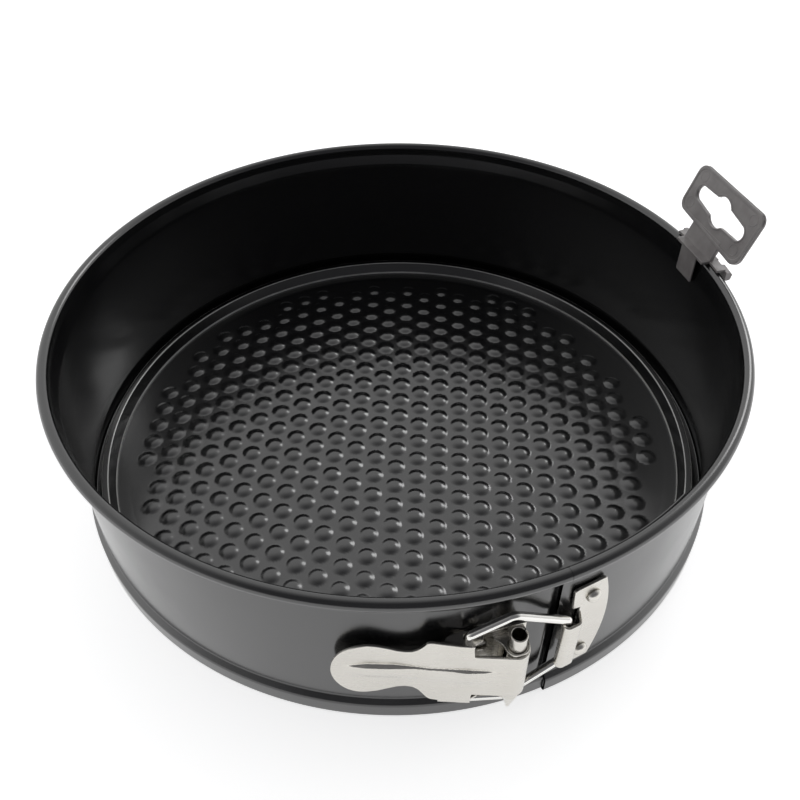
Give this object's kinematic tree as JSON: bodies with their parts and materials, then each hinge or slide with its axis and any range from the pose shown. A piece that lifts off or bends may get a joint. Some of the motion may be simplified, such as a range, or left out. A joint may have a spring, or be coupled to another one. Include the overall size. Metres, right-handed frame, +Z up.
{
  "type": "springform pan",
  "caption": "Round baking pan with a sprung band that opens by an over-centre lever latch, and a separate patterned base plate.",
  "frame": {"origin": "centre of the base plate's underside, on the table", "axes": "+Z up out of the pan, -Y towards the latch, +Y towards the place where the band flexes, +X towards the band's right half with the catch"},
  "size_m": [0.2692, 0.2645, 0.097],
  "materials": {
    "nonstick_steel": "semi-gloss black non-stick coating",
    "nickel_steel": "nickel-plated pressed sheet",
    "nickel_wire": "bright nickel-plated wire",
    "hanger_plastic": "black-grey moulded plastic"
  },
  "bodies": {
    "band_left": {"band_left": "nonstick_steel", "latch_bracket": "nickel_steel", "bracket_rivet_upper": "nickel_steel", "bracket_rivet_lower": "nickel_steel", "hinge_pin": "nickel_steel"},
    "band_right": {"band_right": "nonstick_steel", "catch_plate": "nickel_steel", "catch_rivet_upper": "nickel_steel", "catch_rivet_lower": "nickel_steel"},
    "lever": {"latch_lever": "nickel_steel"},
    "wire": {"wire_bail": "nickel_wire"},
    "base": {"base_plate": "nonstick_steel"},
    "hanger": {"rim_hanger": "hanger_plastic"}
  },
  "joints": [
    {"name": "lever_pivot", "type": "hinge", "parent": "band_left", "child": "lever", "pos_m": [-0.01667, -0.13014, 0.033], "axis": [0, 0, 1], "range_deg": [0, 150]},
    {"name": "band_flex", "type": "hinge", "parent": "band_left", "child": "band_right", "pos_m": [0, 0.13, 0.035], "axis": [0, 0, 1], "range_deg": [0, 4.2]},
    {"name": "wire_pivot", "type": "hinge", "parent": "band_right", "child": "wire", "pos_m": [0.0013, -0.12789, 0.033], "axis": [0, 0, 1], "range_deg": [0, 30.2]},
    {"name": "base_lift", "type": "slide", "parent": "band_left", "child": "base", "axis": [0, 0, 1], "range_m": [0, 0.08]},
    {"name": "hanger_pull", "type": "slide", "parent": "band_right", "child": "hanger", "axis": [0, 0, 1], "range_m": [0, 0.04]}
  ],
  "couplings": [
    {"joint": "band_flex", "follows": "lever_pivot", "ratio": 0.027436},
    {"joint": "wire_pivot", "follows": "lever_pivot", "ratio": 0.20096}
  ]
}
